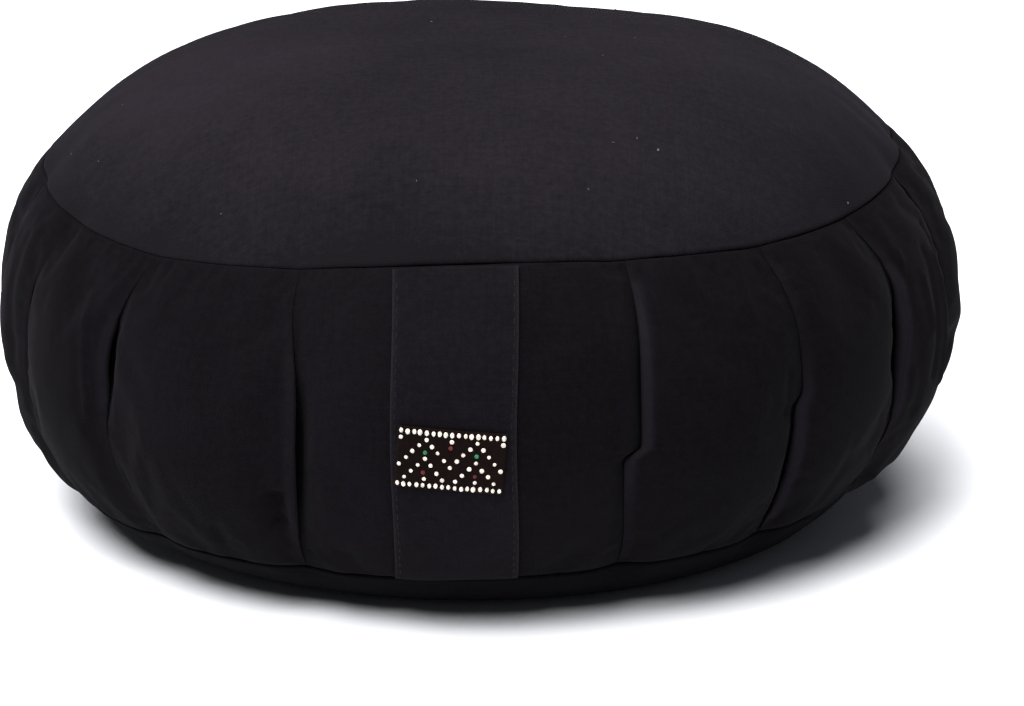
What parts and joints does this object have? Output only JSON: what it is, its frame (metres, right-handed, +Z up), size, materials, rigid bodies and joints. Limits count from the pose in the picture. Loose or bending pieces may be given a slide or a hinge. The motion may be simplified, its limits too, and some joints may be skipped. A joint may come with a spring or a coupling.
{
  "type": "zafu meditation cushion",
  "caption": "Round filled floor cushion with a knife-pleated side wall, domed top and bottom panels, and a flat carry strap with a small woven patch.",
  "frame": {"origin": "middle of the flat base, on the surface the cushion rests on", "axes": "+Z up through the crown; -Y is the front, the side with the carry strap; +X to the right seen from the front"},
  "size_m": [0.3287, 0.3345, 0.1605],
  "materials": {
    "wall_cloth": "matt black plain-weave cotton, pleated",
    "panel_cloth": "matt black plain-weave cotton, faintly faded",
    "strap_cloth": "matt black plain-weave cotton, doubled and topstitched",
    "patch_weave": "dark brown woven patch with raised ivory dots"
  },
  "bodies": {
    "root": {"cushion_body": "wall_cloth", "top_panel": "panel_cloth", "bottom_panel": "panel_cloth", "carry_strap": "strap_cloth", "label_patch": "patch_weave"}
  },
  "joints": []
}
